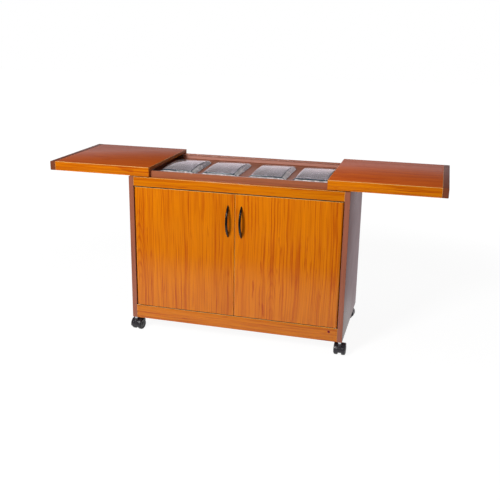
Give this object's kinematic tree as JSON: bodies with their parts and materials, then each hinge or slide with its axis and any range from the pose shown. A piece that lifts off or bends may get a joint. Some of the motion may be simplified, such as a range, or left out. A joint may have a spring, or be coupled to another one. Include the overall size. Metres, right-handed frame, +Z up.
{
  "type": "food warmer trolley",
  "caption": "Heated food trolley: a two-door cabinet on casters, with covered glass dishes in its top and sliding worktop trays.",
  "frame": {"origin": "on the floor, under the middle of the trolley with both trays pulled out", "axes": "+X to the right along the trolley, +Y from the doors to the back, +Z up"},
  "size_m": [1.694, 0.5124, 0.76],
  "materials": {
    "teak_front": "satin veneered board, upright and level grain",
    "teak_top": "satin veneered board, reddish brown",
    "inner_board": "plain brown laminate inside the cupboard",
    "side_laminate": "satin grey-brown laminate",
    "brown_edging": "satin brown edge strip",
    "brown_frame": "satin brown veneer",
    "dark_trim": "satin dark brown",
    "brown_steel": "gloss brown enamel",
    "bright_steel": "zinc plated",
    "well_aluminium": "mill finish sheet",
    "element_steel": "heat-tinted sheath",
    "clear_glass": "clear pressed glass",
    "handle_black": "gloss black",
    "caster_hood": "satin charcoal nylon",
    "caster_wheel": "black nylon",
    "lamp_red": "translucent red",
    "black_plastic": "moulded black",
    "cream_nylon": "natural nylon",
    "lead_black": "round sheath"
  },
  "bodies": {
    "cabinet": {"left_side_panel": "side_laminate", "right_side_panel": "side_laminate", "side_edge_strips": "brown_edging", "base_board": "inner_board", "plinth_rail": "teak_front", "top_rail": "teak_front", "top_board": "inner_board", "back_panel": "side_laminate", "back_panel_screws": "bright_steel", "cupboard_shelf": "inner_board", "shelf_pins": "bright_steel", "corner_blocks": "cream_nylon", "top_frame": "brown_frame", "slide_rails": "brown_steel", "deck_plate": "brown_steel", "hot_well": "well_aluminium", "heating_element": "element_steel", "element_clips": "bright_steel", "heat_shield": "well_aluminium", "thermostat": "black_plastic", "terminal_block": "cream_nylon", "cord_gland": "black_plastic", "internal_leads": "lead_black", "indicator_lamp": "lamp_red", "door_catch": "black_plastic", "door_bushes": "cream_nylon", "caster_stems": "bright_steel", "caster_sockets": "cream_nylon"},
    "left_door_leaf": {"left_door": "teak_front", "left_handle": "handle_black", "left_door_fittings": "bright_steel"},
    "left_tray": {"left_tray_board": "teak_top", "left_tray_aprons": "teak_front", "left_tray_end_trim": "dark_trim", "left_tray_brackets": "bright_steel", "left_tray_glides": "cream_nylon"},
    "right_door_leaf": {"right_door": "teak_front", "right_handle": "handle_black", "right_door_fittings": "bright_steel"},
    "right_tray": {"right_tray_board": "teak_top", "right_tray_aprons": "teak_front", "right_tray_end_trim": "dark_trim", "right_tray_brackets": "bright_steel", "right_tray_glides": "cream_nylon"},
    "dish_1_body": {"dish_1": "clear_glass"},
    "lid_1_body": {"lid_1": "clear_glass"},
    "dish_2_body": {"dish_2": "clear_glass"},
    "lid_2_body": {"lid_2": "clear_glass"},
    "dish_3_body": {"dish_3": "clear_glass"},
    "lid_3_body": {"lid_3": "clear_glass"},
    "dish_4_body": {"dish_4": "clear_glass"},
    "lid_4_body": {"lid_4": "clear_glass"},
    "front_left_caster": {"front_left_caster_hood": "caster_hood"},
    "front_left_wheels": {"front_left_caster_wheels": "caster_wheel"},
    "front_right_caster": {"front_right_caster_hood": "caster_hood"},
    "front_right_wheels": {"front_right_caster_wheels": "caster_wheel"},
    "rear_left_caster": {"rear_left_caster_hood": "caster_hood"},
    "rear_left_wheels": {"rear_left_caster_wheels": "caster_wheel"},
    "rear_right_caster": {"rear_right_caster_hood": "caster_hood"},
    "rear_right_wheels": {"rear_right_caster_wheels": "caster_wheel"}
  },
  "joints": [
    {"name": "left_tray_slide", "type": "slide", "parent": "cabinet", "child": "left_tray", "axis": [-1, 0, 0], "range_m": [-0.3805, 0]},
    {"name": "right_tray_slide", "type": "slide", "parent": "cabinet", "child": "right_tray", "axis": [1, 0, 0], "range_m": [-0.3805, 0]},
    {"name": "left_door_hinge", "type": "hinge", "parent": "cabinet", "child": "left_door_leaf", "pos_m": [-0.4415, -0.21575, 0.1315], "axis": [0, 0, -1], "range_deg": [0, 95]},
    {"name": "right_door_hinge", "type": "hinge", "parent": "cabinet", "child": "right_door_leaf", "pos_m": [0.4415, -0.21575, 0.1315], "axis": [0, 0, 1], "range_deg": [0, 95]},
    {"name": "dish_1_lift", "type": "slide", "parent": "cabinet", "child": "dish_1_body", "axis": [0, 0, 1], "range_m": [0, 0.12]},
    {"name": "lid_1_lift", "type": "slide", "parent": "dish_1_body", "child": "lid_1_body", "axis": [0, 0, 1], "range_m": [0, 0.1]},
    {"name": "dish_2_lift", "type": "slide", "parent": "cabinet", "child": "dish_2_body", "axis": [0, 0, 1], "range_m": [0, 0.12]},
    {"name": "lid_2_lift", "type": "slide", "parent": "dish_2_body", "child": "lid_2_body", "axis": [0, 0, 1], "range_m": [0, 0.1]},
    {"name": "dish_3_lift", "type": "slide", "parent": "cabinet", "child": "dish_3_body", "axis": [0, 0, 1], "range_m": [0, 0.12]},
    {"name": "lid_3_lift", "type": "slide", "parent": "dish_3_body", "child": "lid_3_body", "axis": [0, 0, 1], "range_m": [0, 0.1]},
    {"name": "dish_4_lift", "type": "slide", "parent": "cabinet", "child": "dish_4_body", "axis": [0, 0, 1], "range_m": [0, 0.12]},
    {"name": "lid_4_lift", "type": "slide", "parent": "dish_4_body", "child": "lid_4_body", "axis": [0, 0, 1], "range_m": [0, 0.1]},
    {"name": "front_left_swivel", "type": "hinge", "parent": "cabinet", "child": "front_left_caster", "pos_m": [-0.464, -0.21075, 0.055], "axis": [0, 0, 1], "continuous": true},
    {"name": "front_left_roll", "type": "hinge", "parent": "front_left_caster", "child": "front_left_wheels", "pos_m": [-0.46087, -0.19302, 0.025], "axis": [0.9848, -0.1736, 0], "continuous": true},
    {"name": "front_right_swivel", "type": "hinge", "parent": "cabinet", "child": "front_right_caster", "pos_m": [0.464, -0.21075, 0.055], "axis": [0, 0, 1], "continuous": true},
    {"name": "front_right_roll", "type": "hinge", "parent": "front_right_caster", "child": "front_right_wheels", "pos_m": [0.464, -0.19275, 0.025], "axis": [1, 0, 0], "continuous": true},
    {"name": "rear_left_swivel", "type": "hinge", "parent": "cabinet", "child": "rear_left_caster", "pos_m": [-0.464, 0.21725, 0.055], "axis": [0, 0, 1], "continuous": true},
    {"name": "rear_left_roll", "type": "hinge", "parent": "rear_left_caster", "child": "rear_left_wheels", "pos_m": [-0.473, 0.20166, 0.025], "axis": [-0.866, 0.5, 0], "continuous": true},
    {"name": "rear_right_swivel", "type": "hinge", "parent": "cabinet", "child": "rear_right_caster", "pos_m": [0.464, 0.21725, 0.055], "axis": [0, 0, 1], "continuous": true},
    {"name": "rear_right_roll", "type": "hinge", "parent": "rear_right_caster", "child": "rear_right_wheels", "pos_m": [0.44607, 0.21882, 0.025], "axis": [0.0872, 0.9962, 0], "continuous": true}
  ]
}
